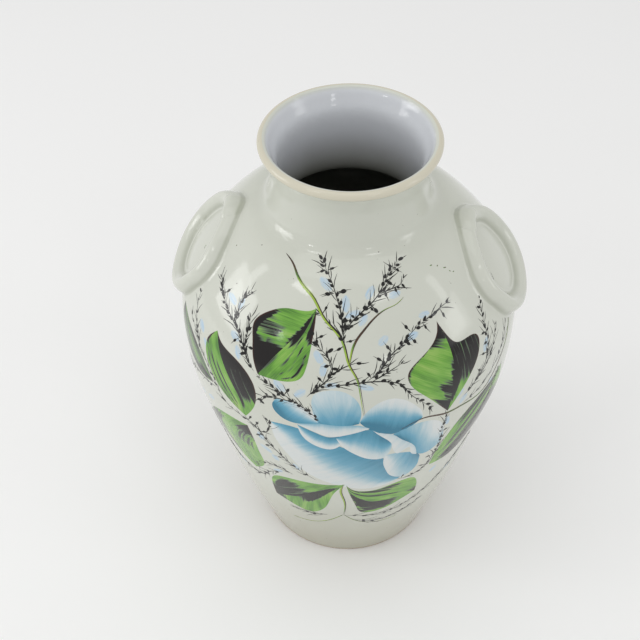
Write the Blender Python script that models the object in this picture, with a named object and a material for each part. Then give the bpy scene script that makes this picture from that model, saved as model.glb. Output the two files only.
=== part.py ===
"""Glazed ceramic flower vase: a baluster body on a turned foot ring, a short flared neck,
and an applied oval ring handle with a pressed lug on each shoulder.

Metres, +Z up. The origin is the centre of the resting face. The handles lie at +X and -X,
a little towards the decorated front, which faces -Y. Each piece of clay is one object. The
pieces were joined with slip before firing, so each stands off the next by a thin slip line.
"""

import math

import bmesh
import bpy
import numpy as np

# Overall
HEIGHT = 0.280
SLIP_LINE = 0.0003
TURNS = 56
BODY_RINGS = 24
CURVE_POINTS = 600
CREASE_ANGLE = math.radians(50)

# Body, as (radius, height) down the outside from the neck joint to the resting plane
BODY_OUTSIDE = (
    (0.0463, 0.2408),
    (0.0505, 0.2386),
    (0.0570, 0.2346),
    (0.0656, 0.2268),
    (0.0774, 0.2128),
    (0.0886, 0.1932),
    (0.0915, 0.1680),
    (0.0895, 0.1400),
    (0.0818, 0.1064),
    (0.0733, 0.0700),
    (0.0638, 0.0364),
    (0.0564, 0.0140),
    (0.0522, 0.0000),
)
BODY_WALL = 0.0050
FLOOR_THICKNESS = 0.0070
FLOOR_CORNER = 0.0100
FLOOR_CORNER_INSET = 0.0020
FLOOR_CORNER_POINTS = 5
INNER_WALL_START = 25  # curve points below the neck joint

# Neck, as (radius, height) up the outside from the joint to the lip
NECK_OUTSIDE = (
    (0.0463, 0.2408),
    (0.0436, 0.2436),
    (0.0414, 0.2490),
    (0.0403, 0.2555),
    (0.0399, 0.2620),
    (0.0409, 0.2690),
    (0.0433, 0.2752),
    (0.0456, 0.2778),
)
THROAT = (
    (0.0421, 0.2780),
    (0.0400, 0.2725),
    (0.0373, 0.2650),
    (0.0361, 0.2570),
    (0.0363, 0.2500),
    (0.0378, 0.2445),
    (0.0398, 0.2408),
)
LIP_RADIUS = 0.0018
LIP_CENTRE = 0.0440
LIP_POINTS = 5
NECK_RINGS = 10
THROAT_RINGS = 9

# Foot ring
FOOT_HEIGHT = 0.0080
FOOT_MIDDLE = 0.0045
LOWEST_BODY_RING = 0.0100
FOOT_REST = (0.0448, 0.0505)
FOOT_INSIDE_TOP = 0.0420
FOOT_EDGE = 0.0014

# Ring handles, laid on the shoulder: half round below, squarer above, with sizes along and
# across the vase's meridian, the latter as arcs at the handle's centre
HANDLE_CENTRE_RADIUS = 0.0773
HANDLE_FORWARD = math.radians(4.5)
HANDLE_HALF_LENGTH = 0.0270
HANDLE_HALF_WIDTH = 0.0230
HANDLE_TOP_SQUARENESS = 2.5
COIL_HALF_WIDTH = 0.0050
COIL_STAND = 0.0062
COIL_UNDERSIDE_SHARE = 0.94
LUG_HALF_WIDTH = 0.0059
LUG_STAND = 0.0070
LUG_HALF_ANGLE = math.radians(30)
HANDLE_STATIONS = 44
LUG_STATIONS = 11
SECTION_POINTS = 9

GLAZE = (0.78, 0.79, 0.74)
GLAZE_ROUGHNESS = 0.12
BARE_CLAY = (0.72, 0.66, 0.55)
BARE_CLAY_ROUGHNESS = 0.8


def clear_scene():
    for old in list(bpy.data.objects):
        bpy.data.objects.remove(old, do_unlink=True)


def ceramic(name, colour, roughness):
    material = bpy.data.materials.new(name)
    material.use_nodes = True
    shader = material.node_tree.nodes["Principled BSDF"]
    shader.inputs["Base Color"].default_value = (*colour, 1.0)
    shader.inputs["Roughness"].default_value = roughness
    shader.inputs["Metallic"].default_value = 0.0
    return material


def spline_through(points, count):
    """Natural cubic spline through the points, sampled at count even steps of its chord length."""
    knots = np.array(points, float)
    at = length_down(knots)
    gap = np.diff(at)
    size = len(knots)
    system = np.zeros((size, size))
    right = np.zeros((size, 2))
    system[0, 0] = 1.0
    system[-1, -1] = 1.0
    for i in range(1, size - 1):
        system[i, i - 1 : i + 2] = gap[i - 1], 2 * (gap[i - 1] + gap[i]), gap[i]
        rise = (knots[i + 1] - knots[i]) / gap[i] - (knots[i] - knots[i - 1]) / gap[i - 1]
        right[i] = 6 * rise
    bend = np.linalg.solve(system, right)
    where = np.linspace(0.0, at[-1], count)
    span = np.clip(np.searchsorted(at, where) - 1, 0, size - 2)
    width = gap[span][:, None]
    after = (where[:, None] - at[span][:, None]) / width
    before = 1.0 - after
    curve = before * knots[span] + after * knots[span + 1]
    sag = (before**3 - before) * bend[span] + (after**3 - after) * bend[span + 1]
    return curve + sag * width**2 / 6


def length_down(curve):
    """How far each point lies along the curve from its start."""
    return np.concatenate(([0.0], np.cumsum(np.hypot(*np.diff(curve, axis=0).T))))


def inward(curve, distance):
    """The curve moved towards the inside of the wall; the curve runs down the outside."""
    along = np.gradient(curve, axis=0)
    along /= np.linalg.norm(along, axis=1)[:, None]
    return curve + distance * np.stack([along[:, 1], -along[:, 0]], axis=1)


def arc(centre, radius, start, end, count):
    angles = np.radians(np.linspace(start, end, count))
    return [(centre[0] + radius * math.cos(a), centre[1] + radius * math.sin(a)) for a in angles]


def revolve(name, profile, closed, material):
    """Turns a (radius, height) profile about Z. It runs down the outer side of the clay."""
    mesh = bpy.data.meshes.new(name)
    count = len(profile)
    edges = [(i, i + 1) for i in range(count - 1)]
    if closed:
        edges.append((count - 1, 0))
    mesh.from_pydata([(radius, 0.0, height) for radius, height in profile], edges, [])
    piece = bpy.data.objects.new(name, mesh)
    bpy.context.collection.objects.link(piece)
    screw = piece.modifiers.new("turn", "SCREW")
    screw.steps = TURNS
    screw.render_steps = TURNS
    screw.use_merge_vertices = True
    screw.merge_threshold = 0.0001
    screw.use_smooth_shade = True
    piece.data.materials.append(material)
    return piece


def body_profile():
    """A hollow pot: up the inner wall, over the joint face, down the outside, under the floor."""
    dense = spline_through(BODY_OUTSIDE, CURVE_POINTS)
    outside = spline_through(BODY_OUTSIDE, BODY_RINGS)
    outside[0, 1] -= SLIP_LINE / 2
    outside = [tuple(point) for point in outside if point[1] > LOWEST_BODY_RING]
    foot_radius = float(np.interp(FOOT_HEIGHT, dense[::-1, 1], dense[::-1, 0]))
    outside.append((foot_radius, FOOT_HEIGHT))
    floor = FOOT_HEIGHT + FLOOR_THICKNESS
    wall = inward(dense, BODY_WALL)[INNER_WALL_START :: CURVE_POINTS // BODY_RINGS]
    wall = [tuple(point) for point in wall if point[1] > floor + FLOOR_CORNER]
    corner = (wall[-1][0] - FLOOR_CORNER - FLOOR_CORNER_INSET, floor + FLOOR_CORNER)
    rounded = arc(corner, FLOOR_CORNER, -90, -10, FLOOR_CORNER_POINTS)
    throat = (THROAT[-1][0], THROAT[-1][1] - SLIP_LINE / 2)
    inside = [(0.0, floor)] + rounded + wall[::-1] + [throat]
    return inside + outside + [(0.0, FOOT_HEIGHT)]


def neck_profile():
    """Down the outside from the lip, across the joint face, and up the throat."""
    outside = spline_through(NECK_OUTSIDE, NECK_RINGS)[::-1]
    outside[-1, 1] += SLIP_LINE / 2
    throat = spline_through(THROAT, THROAT_RINGS)
    throat[-1, 1] += SLIP_LINE / 2
    lip = arc((LIP_CENTRE, HEIGHT - LIP_RADIUS), LIP_RADIUS, 150, 30, LIP_POINTS)
    return lip + [tuple(point) for point in outside] + [tuple(point) for point in throat[::-1]]


def foot_profile():
    """Down the outside, across the resting face, and up the inner side."""
    dense = spline_through(BODY_OUTSIDE, CURVE_POINTS)
    heights = (FOOT_HEIGHT - SLIP_LINE, FOOT_MIDDLE, FOOT_EDGE)
    outside = [(float(np.interp(h, dense[::-1, 1], dense[::-1, 0])), h) for h in heights]
    inner, outer = FOOT_REST
    top_inside = (FOOT_INSIDE_TOP, FOOT_HEIGHT - SLIP_LINE)
    return outside + [(outer, 0.0), (inner, 0.0), (inner - FOOT_EDGE, FOOT_EDGE), top_inside]


def shoulder_point(curve, along, across, stand, side):
    """A point above the shoulder, placed from the handle's centre down and round the vase."""
    at = length_down(curve)
    shoulder = slice(0, int(np.argmax(curve[:, 0])))
    centre = np.interp(HANDLE_CENTRE_RADIUS, curve[shoulder, 0], at[shoulder])
    slope = np.gradient(curve, at, axis=0)
    radius, height, outward, down = (
        float(np.interp(centre + along, at, values)) for values in (*curve.T, *slope.T)
    )
    steep = math.hypot(outward, down)
    reach = radius - stand * down / steep
    angle = across / HANDLE_CENTRE_RADIUS - HANDLE_FORWARD
    east, north = reach * math.cos(angle), reach * math.sin(angle)
    return (side * east, north, height + stand * outward / steep)


def oval(angle):
    """The handle's centre line, as (along, across), and its outward direction."""
    power = HANDLE_TOP_SQUARENESS if math.cos(angle) < 0 else 2.0
    unit = np.array([math.cos(angle), math.sin(angle)])
    share = np.sign(unit) * np.abs(unit) ** (2 / power)
    size = np.array([HANDLE_HALF_LENGTH, HANDLE_HALF_WIDTH])
    outward = np.sign(share) * np.abs(share) ** (power - 1) / size
    return share * size, outward / np.linalg.norm(outward)


def coil_section(half_width, stand):
    """A half round on a flat underside, as (across the coil, above the shoulder)."""
    points = [(half_width * COIL_UNDERSIDE_SHARE, SLIP_LINE)]
    for i in range(SECTION_POINTS - 2):
        angle = math.pi * (i + 0.5) / (SECTION_POINTS - 2)
        points.append((half_width * math.cos(angle), SLIP_LINE + stand * math.sin(angle)))
    points.append((-half_width * COIL_UNDERSIDE_SHARE, SLIP_LINE))
    return points


def handle_piece(name, side, start, end, stations, section, material):
    """Sweeps a section along part of the oval that lies on the shoulder."""
    curve = spline_through(BODY_OUTSIDE, CURVE_POINTS)
    mesh = bmesh.new()
    loops = []
    for angle in np.linspace(start, end, stations):
        middle, outward = oval(angle)
        loop = []
        for offset, stand in section:
            along, across = middle + outward * offset
            point = shoulder_point(curve, along, across, stand, side)
            loop.append(mesh.verts.new(point))
        loops.append(loop)
    sides = len(section)
    for here, there in zip(loops, loops[1:]):
        for i in range(sides):
            j = (i + 1) % sides
            mesh.faces.new((here[i], there[i], there[j], here[j]))
    mesh.faces.new(loops[0])
    mesh.faces.new(loops[-1][::-1])
    bmesh.ops.recalc_face_normals(mesh, faces=mesh.faces)
    data = bpy.data.meshes.new(name)
    mesh.to_mesh(data)
    mesh.free()
    data.shade_smooth()
    data.set_sharp_from_angle(angle=CREASE_ANGLE)
    piece = bpy.data.objects.new(name, data)
    bpy.context.collection.objects.link(piece)
    piece.data.materials.append(material)
    return piece


def build_handle(word, side, vase):
    """One coil bent round the bottom of the oval, and the lug pressed over its two ends."""
    gap = SLIP_LINE / HANDLE_HALF_WIDTH
    coil = coil_section(COIL_HALF_WIDTH, COIL_STAND)
    lug = coil_section(LUG_HALF_WIDTH, LUG_STAND)
    reach = math.pi - LUG_HALF_ANGLE - gap
    glaze = ceramic(word + "_handle_glaze", GLAZE, GLAZE_ROUGHNESS)
    ring = handle_piece(word + "_handle_ring", side, -reach, reach, HANDLE_STATIONS, coil, glaze)
    start = math.pi - LUG_HALF_ANGLE
    end = math.pi + LUG_HALF_ANGLE
    tab = handle_piece(word + "_handle_lug", side, start, end, LUG_STATIONS, lug, glaze)
    ring.parent = vase
    tab.parent = vase


def main():
    clear_scene()
    vase = bpy.data.objects.new("flower_vase", None)
    bpy.context.collection.objects.link(vase)
    pieces = (
        revolve("body", body_profile(), False, ceramic("body_glaze", GLAZE, GLAZE_ROUGHNESS)),
        revolve("neck", neck_profile(), True, ceramic("neck_glaze", GLAZE, GLAZE_ROUGHNESS)),
        revolve("foot_ring", foot_profile(), True, ceramic("bare_foot_clay", BARE_CLAY, BARE_CLAY_ROUGHNESS)),
    )
    for piece in pieces:
        piece.parent = vase
    build_handle("right", 1, vase)
    build_handle("left", -1, vase)


main()
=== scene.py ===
import math
import random

import bpy
import numpy as np
from mathutils import Matrix, Vector


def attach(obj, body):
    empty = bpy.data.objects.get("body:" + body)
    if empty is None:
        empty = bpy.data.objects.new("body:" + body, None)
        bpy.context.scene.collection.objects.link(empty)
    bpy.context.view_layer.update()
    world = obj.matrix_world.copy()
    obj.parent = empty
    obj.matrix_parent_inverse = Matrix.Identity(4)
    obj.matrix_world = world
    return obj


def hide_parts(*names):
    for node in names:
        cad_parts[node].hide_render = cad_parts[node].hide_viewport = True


# Looks for the glazed flower vase: a fine turned body, neck and foot, soft-edged ring handles,
# and the enamel painting, laid on the glaze as thin closed films. Lengths are millimetres and
# angles degrees until a mesh is made. Angle 0 is the decorated front, which faces -Y, and +90
# is the handle at +X. "Down" is the distance down the outside from the neck joint.

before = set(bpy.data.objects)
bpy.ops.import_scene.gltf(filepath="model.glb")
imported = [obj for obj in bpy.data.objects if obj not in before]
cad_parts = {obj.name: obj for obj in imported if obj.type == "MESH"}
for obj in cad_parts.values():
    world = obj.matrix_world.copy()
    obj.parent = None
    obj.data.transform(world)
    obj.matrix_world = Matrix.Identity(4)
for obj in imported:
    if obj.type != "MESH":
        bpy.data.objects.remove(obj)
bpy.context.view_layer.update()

MM = 0.001
SEED = 11

# The outside from under the lip to the resting face, as (radius, height)
NECK_OUTSIDE = (
    (45.20, 276.50),
    (43.2, 274.9),
    (40.9, 269.0),
    (39.9, 262.0),
    (40.3, 255.5),
    (41.4, 249.0),
    (43.6, 243.6),
)
BODY_OUTSIDE = (
    (46.3, 240.8),
    (50.5, 238.6),
    (57.0, 234.6),
    (65.6, 226.8),
    (77.4, 212.8),
    (88.6, 193.2),
    (91.5, 168.0),
    (89.5, 140.0),
    (81.8, 106.4),
    (73.3, 70.0),
    (63.8, 36.4),
    (56.4, 14.0),
    (52.2, 0.0),
)
# The inside from the lip to the corner of the floor
INSIDE = (
    (41.96, 280.04),
    (40.9, 278.5),
    (39.5, 275.4),
    (37.2, 270.6),
    (36.1, 266.0),
    (35.7, 260.0),
    (35.6, 252.0),
    (35.7, 244.0),
    (36.1, 236.0),
    (37.8, 230.6),
    (43.0, 226.6),
    (52.0, 223.4),
    (64.8, 216.0),
    (79.0, 199.0),
    (86.5, 170.0),
    (82.4, 130.0),
    (73.9, 95.0),
    (65.4, 60.0),
    (56.6, 30.0),
)
JOINT_HEIGHT = 240.8
LIP_RADIUS = 2.4
LIP_CENTRE = (43.5, 278.2)
LIP_ARC = (-45.0, 130.0)
TAN_START = 270.0
TAN_RISE = 8.0
LINING_FADE = 2.0
FOOT_HEIGHT = 8.0
FLOOR_HEIGHT = 15.0
FLOOR_CORNER = 10.0
FLOOR_CORNER_INSET = 1.6
FOOT_REST_INSIDE = 44.8
FOOT_INSIDE_TOP = 42.0
FOOT_OUTER_ROUND = 1.5
FOOT_INNER_ROUND = 1.3
FOOT_WALL_END = 1.6
GLAZE_STOPS = 0.5
GLAZE_FADE = 2.2
OVALNESS = 0.12
LOBES = 0.05

# How finely the turned pieces are drawn: points along a curve, steps round, and row spacings
CURVE_POINTS = 1600
INSIDE_POINTS = 170
TURNS = 256
BODY_SPACING = 1.5
NECK_SPACING = 0.9
FOOT_SPACING = 0.8

# Ring handles. The upper front corner sags down the shoulder and is pushed to the front.
HANDLE_CENTRE_RADIUS = 77.3
HANDLE_FORWARD = 4.5
HANDLE_HALF_LENGTH = 27.0
HANDLE_HALF_WIDTH = 23.0
HANDLE_TOP_SQUARENESS = 2.2
HANDLE_SAG = 5.0
HANDLE_PUSH = 3.2
COIL_HALF_WIDTH = 4.7
COIL_STAND = 6.2
COIL_TOP_SWELL = 1.2
COIL_NEAR_SWELL = 1.6
COIL_TOP_FLATTENING = 0.10
COIL_BACK = -1.5
COIL_COLUMNS = 25
RING_ROWS = 180
LUG_ROWS = 41
LUG_HALF_WIDTH = 5.9
LUG_STAND = 7.0
LUG_HALF_ANGLE = 30.0
FILLET = 3.2

# Paint: lifts above the glaze, and rows along and across each film
FILM = 0.05
SUNK = -0.03
BACK = -0.12
TURNED_EDGE_CROWN = 0.10
PETAL_GRID = (56, 30)
LEAF_GRID = (64, 26)
NO_BORDER = 1000.0
PANEL_MM_PER_DEGREE = 1.4


# -------- curves and the vase's surface


def held(value):
    """The value held between 0 and 1."""
    return np.clip(value, 0, 1)


def lengths(curve):
    """How far each point lies along the curve from its start."""
    steps = np.linalg.norm(np.diff(curve, axis=0), axis=1)
    return np.concatenate(([0.0], np.cumsum(steps)))


def spline(points, count):
    """Natural cubic spline through the points, at count even steps of its chord length."""
    knots = np.array(points, float)
    at = lengths(knots)
    gap = np.diff(at)
    size = len(knots)
    system = np.eye(size)
    right = np.zeros_like(knots)
    for i in range(1, size - 1):
        system[i, i - 1 : i + 2] = gap[i - 1], 2 * (gap[i - 1] + gap[i]), gap[i]
        rise = (knots[i + 1] - knots[i]) / gap[i] - (knots[i] - knots[i - 1]) / gap[i - 1]
        right[i] = 6 * rise
    bend = np.linalg.solve(system, right)
    where = np.linspace(0.0, at[-1], count)
    span = np.clip(np.searchsorted(at, where) - 1, 0, size - 2)
    width = gap[span][:, None]
    after = (where[:, None] - at[span][:, None]) / width
    before = 1.0 - after
    curve = before * knots[span] + after * knots[span + 1]
    sag = (before**3 - before) * bend[span] + (after**3 - after) * bend[span + 1]
    return curve + sag * width**2 / 6


def arc(centre, radius, start, end, count):
    """The points of an arc and their directions away from its centre."""
    angles = np.radians(np.linspace(start, end, count))
    away = np.stack([np.cos(angles), np.sin(angles)], 1)
    return np.array(centre) + radius * away, away


def across(curve):
    """The unit normals on the left of a curve that runs down the outside, so pointing outward."""
    along = np.gradient(curve, axis=0)
    along /= np.linalg.norm(along, axis=1)[:, None]
    return np.stack([-along[:, 1], along[:, 0]], axis=1)


OUTSIDE = spline(NECK_OUTSIDE + BODY_OUTSIDE, CURVE_POINTS)
OUTWARD = across(OUTSIDE)
DOWN = lengths(OUTSIDE)
DOWN = DOWN - np.interp(-JOINT_HEIGHT, -OUTSIDE[:, 1], DOWN)


def down_at(height):
    return float(np.interp(-height, -OUTSIDE[:, 1], DOWN))


def outside_at(down):
    """Radius, height, outward and upward parts of the normal, at a distance down the outside."""
    columns = (*OUTSIDE.T, *OUTWARD.T)
    return [np.interp(down, DOWN, column) for column in columns]


def wobble(turn, height, radius):
    """How far the hand-thrown wall strays from a true circle."""
    oval_part = OVALNESS * np.sin(2 * turn + 0.6 + height / 90)
    lobed_part = LOBES * np.sin(3 * turn - height / 55)
    return (oval_part + lobed_part) * np.minimum(1.0, radius / 20)


def on_vase(angle, down, lift=0.0):
    """Points at a lift above the glaze."""
    radius, height, outward, upward = outside_at(down)
    turn = np.radians(angle)
    reach = radius + wobble(turn, height, radius) + lift * outward
    return np.stack([reach * np.sin(turn), -reach * np.cos(turn), height + lift * upward], -1)


def normal_at(angle, down):
    outward, upward = outside_at(down)[2:]
    turn = np.radians(angle)
    return np.stack([outward * np.sin(turn), -outward * np.cos(turn), upward + 0 * turn], -1)


def mm_per_degree(down):
    return math.pi / 180 * outside_at(down)[0]


# -------- meshes


class Build:
    """Collects closed shells into one mesh, with a normal and named values at each vertex."""

    def __init__(self):
        self.points = []
        self.normals = []
        self.faces = []
        self.values = {}
        self.count = 0

    def vertices(self, points, normals, values):
        """Adds a table of vertices and returns the table of their numbers."""
        size = points.shape[:2]
        self.points.append(points.reshape(-1, 3))
        self.normals.append(normals.reshape(-1, 3))
        for name, value in values.items():
            shape = size + (3,) if name == "grain" else size
            flat = np.broadcast_to(value, shape).reshape(-1, 3 if name == "grain" else 1)
            self.values.setdefault(name, []).append(flat)
        numbers = np.arange(size[0] * size[1]).reshape(size) + self.count
        self.count += size[0] * size[1]
        return numbers

    def quads(self, numbers):
        """Faces between neighbours in a table of vertex numbers; a repeated number closes one."""
        corners = (numbers[:-1, :-1], numbers[1:, :-1], numbers[1:, 1:], numbers[:-1, 1:])
        for face in np.stack(corners, -1).reshape(-1, 4).tolist():
            face = tuple(dict.fromkeys(face))
            if len(face) > 2:
                self.faces.append(face)

    def shell(self, top, back, normals, values, ring=False, pointed=(False, False)):
        """A closed shell: a table of face points, and behind it one that shares its border."""
        outward = np.cross(top[1:, :-1] - top[:-1, :-1], top[:-1, 1:] - top[:-1, :-1])
        if (outward * normals[:-1, :-1]).sum() < 0:
            top, back, normals = top[:, ::-1], back[:, ::-1], normals[:, ::-1]
            values = {key: np.asarray(value)[:, ::-1] for key, value in values.items()}
        numbers = self.vertices(top, normals, values)
        behind = self.vertices(back, -normals, values)
        behind[:, 0] = numbers[:, 0]
        behind[:, -1] = numbers[:, -1]
        if not ring:
            behind[0] = numbers[0]
            behind[-1] = numbers[-1]
        for end, closed in zip((0, -1), pointed):
            if closed:
                numbers[end] = numbers[end, 0]
                behind[end] = numbers[end, 0]
        if ring:
            numbers = np.vstack([numbers, numbers[:1]])
            behind = np.vstack([behind, behind[:1]])
        self.quads(numbers)
        self.quads(behind[:, ::-1])

    def piece(self, name, material, replaces=()):
        points = np.concatenate(self.points) * MM
        used = np.unique(np.concatenate([np.array(face) for face in self.faces]))
        new_number = np.zeros(self.count, int)
        new_number[used] = np.arange(len(used))
        mesh = bpy.data.meshes.new(name)
        faces = [tuple(new_number[list(face)].tolist()) for face in self.faces]
        mesh.from_pydata(points[used].tolist(), [], faces)
        for key, parts in self.values.items():
            table = np.concatenate(parts)[used]
            kind = "FLOAT_VECTOR" if key == "grain" else "FLOAT"
            layer = mesh.attributes.new(key, kind, "POINT")
            layer.data.foreach_set("vector" if key == "grain" else "value", table.ravel())
        mesh.shade_smooth()
        mesh.normals_split_custom_set_from_vertices(np.concatenate(self.normals)[used].tolist())
        made = bpy.data.objects.new(name, mesh)
        bpy.context.scene.collection.objects.link(made)
        made.data.materials.append(material)
        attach(made, "root")
        if replaces:
            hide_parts(*replaces)


def turned(name, profile, normals, material, replaces, values):
    """A solid of revolution from a (radius, height) outline, closed or ending on the axis."""
    turns = np.radians(np.linspace(0, 360, TURNS, endpoint=False))
    radius = profile[:, :1] + wobble(turns, profile[:, 1:], profile[:, :1])
    sine, cosine = np.sin(turns), np.cos(turns)
    height = np.broadcast_to(profile[:, 1:], radius.shape)
    points = np.stack([radius * sine, -radius * cosine, height], -1)
    facing = np.stack([normals[:, :1] * sine, -normals[:, :1] * cosine, normals[:, 1:] + 0 * sine], -1)
    columns = {key: np.array(value)[:, None] for key, value in values.items()}
    build = Build()
    numbers = build.vertices(points, facing, columns)
    on_axis = profile[:, 0] < 1e-6
    numbers[on_axis] = numbers[on_axis, :1]
    numbers = np.hstack([numbers, numbers[:, :1]])
    if not on_axis.any():
        numbers = np.vstack([numbers, numbers[:1]])
    build.quads(numbers)
    build.piece(name, material, replaces)


# -------- materials


class Shader:
    """A Principled material, with its nodes added by short calls."""

    def __init__(self, name, specular=0.5):
        self.material = bpy.data.materials.new(name)
        self.material.use_nodes = True
        self.tree = self.material.node_tree
        self.surface = self.tree.nodes["Principled BSDF"]
        self.surface.inputs["IOR"].default_value = GLASS_IOR
        self.surface.inputs["Specular IOR Level"].default_value = specular

    def node(self, kind, inputs, **settings):
        made = self.tree.nodes.new("ShaderNode" + kind)
        for key, value in settings.items():
            setattr(made, key, value)
        for key, value in inputs.items():
            self.plug(made.inputs[key], value)
        return made

    def plug(self, socket, value):
        if isinstance(value, bpy.types.NodeSocket):
            self.tree.links.new(value, socket)
        elif value is not None:
            socket.default_value = value

    def place(self):
        return self.node("TexCoord", {}).outputs["Object"]

    def coordinate(self, axis):
        return self.node("SeparateXYZ", {"Vector": self.place()}).outputs[axis]

    def value(self, name):
        return self.node("Attribute", {}, attribute_name=name).outputs["Fac"]

    def hairs(self, across_scale, along_scale, shift=0.0, detail=2.0):
        """Noise in the brush's own coordinates, drawn out along the stroke."""
        vector = self.node("Attribute", {}, attribute_name="grain").outputs["Vector"]
        scale = {"Vector": vector, "Scale": (across_scale, along_scale, 1.0)}
        scale["Location"] = (shift, shift, shift)
        return self.noise(1.0, detail, self.node("Mapping", scale).outputs["Vector"])

    def noise(self, scale, detail=2.0, vector=None):
        inputs = {"Vector": vector or self.place(), "Scale": scale, "Detail": detail}
        return self.node("TexNoise", inputs).outputs["Fac"]

    def math(self, operation, first, second):
        return self.node("Math", {0: first, 1: second}, operation=operation).outputs[0]

    def sway(self, value, noise, amount):
        """The value moved up or down by a noise around its middle."""
        shift = self.math("MULTIPLY", self.math("SUBTRACT", noise, 0.5), amount)
        return self.math("ADD", value, shift)

    def rise(self, value, low, high, start=0.0, end=1.0):
        """A smooth step from start to end as the value goes from low to high."""
        inputs = {"Value": value, "From Min": low, "From Max": high, "To Min": start, "To Max": end}
        return self.node("MapRange", inputs, interpolation_type="SMOOTHSTEP").outputs["Result"]

    def blend(self, share, first, second):
        inputs = {0: share, 6: colour(first), 7: colour(second)}
        return self.node("Mix", inputs, data_type="RGBA").outputs[2]

    def ramp(self, value, stops):
        made = self.node("ValToRGB", {"Fac": value})
        elements = made.color_ramp.elements
        for _ in stops[2:]:
            elements.new(0.5)
        for element, (position, shade) in zip(elements, stops):
            element.position = position
            element.color = colour(shade)
        return made.outputs["Color"]

    def bump(self, height, distance, normal=None):
        inputs = {"Height": height, "Strength": 1.0, "Distance": distance * MM, "Normal": normal}
        return self.node("Bump", inputs).outputs["Normal"]

    def finish(self, base, roughness, normal):
        self.plug(self.surface.inputs["Base Color"], base)
        self.plug(self.surface.inputs["Roughness"], roughness)
        self.plug(self.surface.inputs["Normal"], normal)
        return self.material


def colour(shade):
    return shade if isinstance(shade, bpy.types.NodeSocket) else (*shade, 1.0)


GLASS_IOR = 1.5
GLAZE_LIGHT = (0.655, 0.670, 0.600)
GLAZE_SHADE = (0.600, 0.618, 0.545)
GLAZE_BASE = (0.430, 0.415, 0.320)
GLAZE_INSIDE = (0.680, 0.700, 0.730)
# Painted shade inside the vase: a dark throat, and near black deeper down where little light reaches
THROAT_PAINTED_SHADE = (0.270, 0.270, 0.235)
DEEP_INSIDE_PAINTED_SHADE = (0.200, 0.200, 0.170)
GLAZE_POOL_AND_SHADE = (0.430, 0.450, 0.370)
LIP_TAN = (0.650, 0.605, 0.475)
IRON_SPECK = (0.080, 0.060, 0.045)
CLAY = (0.520, 0.450, 0.340)
CLAY_DARK = (0.330, 0.270, 0.200)

# Heights in metres over which the lining's painted shade changes: from near black deep inside to the dark
# throat, then from the throat to the lit lining
DEEP_SHADE_HEIGHTS = (0.200, 0.230)
THROAT_SHADE_HEIGHTS = (0.228, 0.262)


def glaze_colour(shader):
    """Greenish white with soft clouds, darker and browner towards the base."""
    cloud = shader.noise(22.0, 3.0)
    base = shader.blend(cloud, GLAZE_LIGHT, GLAZE_SHADE)
    height = shader.sway(shader.coordinate("Z"), shader.noise(35.0, 2.0), 0.030)
    base = shader.blend(shader.rise(height, 0.100, 0.004, 0.0, 0.85), base, GLAZE_BASE)
    speck = shader.noise(620.0, 1.0)
    rare = shader.rise(shader.noise(75.0, 1.0), 0.60, 0.66)
    dots = shader.math("MULTIPLY", shader.rise(speck, 0.735, 0.765, 0.0, 0.7), rare)
    return shader.blend(dots, base, IRON_SPECK)


def glaze_surface(shader, strokes=None):
    """The soft orange-peel skin of the glaze, with any brush relief under it."""
    skin = shader.bump(shader.noise(130.0, 2.0), 0.035)
    fine = shader.bump(shader.noise(900.0, 2.0), 0.0012, skin)
    return shader.bump(strokes, 0.012, fine) if strokes else fine


def glaze_material(name):
    shader = Shader(name)
    base = glaze_colour(shader)
    # Painted shade: the lining darkens down the throat and to near black deeper inside
    depth = shader.sway(shader.coordinate("Z"), shader.noise(60.0), 0.004)
    lining = shader.blend(shader.rise(depth, *DEEP_SHADE_HEIGHTS), DEEP_INSIDE_PAINTED_SHADE, THROAT_PAINTED_SHADE)
    lining = shader.blend(shader.rise(depth, *THROAT_SHADE_HEIGHTS), lining, GLAZE_INSIDE)
    base = shader.blend(shader.value("inside"), base, lining)
    # Glaze gathered in the handles' fillets, with painted shade in the crease between coil and shoulder
    pool_and_shade = shader.sway(shader.value("pool_and_shade"), shader.noise(120.0), 0.3)
    base = shader.blend(shader.rise(pool_and_shade, 0.1, 1.0, 0.0, 0.8), base, GLAZE_POOL_AND_SHADE)
    lip = shader.sway(shader.value("lip"), shader.noise(160.0, 3.0), 0.7)
    base = shader.blend(shader.rise(lip, 0.2, 0.9, 0.0, 0.8), base, LIP_TAN)
    worn = shader.rise(shader.noise(60.0, 3.0), 0.3, 0.75, 0.07, 0.13)
    return shader.finish(base, worn, glaze_surface(shader))


def foot_material():
    """Thin glaze that stops in an uneven line above bare, rough clay."""
    shader = Shader("bare_foot_clay")
    grit = shader.noise(900.0, 4.0)
    clay = shader.blend(shader.rise(grit, 0.35, 0.7), CLAY, CLAY_DARK)
    clay = shader.blend(shader.rise(shader.noise(90.0, 3.0), 0.45, 0.75, 0.0, 0.5), clay, CLAY_DARK)
    edge = shader.sway(shader.value("glazed"), shader.noise(70.0, 3.0), 0.9)
    glazed = shader.rise(edge, 0.45, 0.60)
    base = shader.blend(glazed, clay, glaze_colour(shader))
    rough = shader.rise(glazed, 0.0, 1.0, 0.85, 0.14)
    grain = shader.math("MULTIPLY", grit, shader.rise(glazed, 0.0, 1.0, 1.0, 0.05))
    return shader.finish(base, rough, shader.bump(grain, 0.12))


def covered(shader, paint, soft=(0.15, 0.5)):
    """The paint over the glaze, with a slightly ragged edge."""
    ragged = shader.sway(shader.value("cover"), shader.noise(700.0, 2.0), 0.25)
    return shader.blend(shader.rise(ragged, *soft), glaze_colour(shader), paint)


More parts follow.
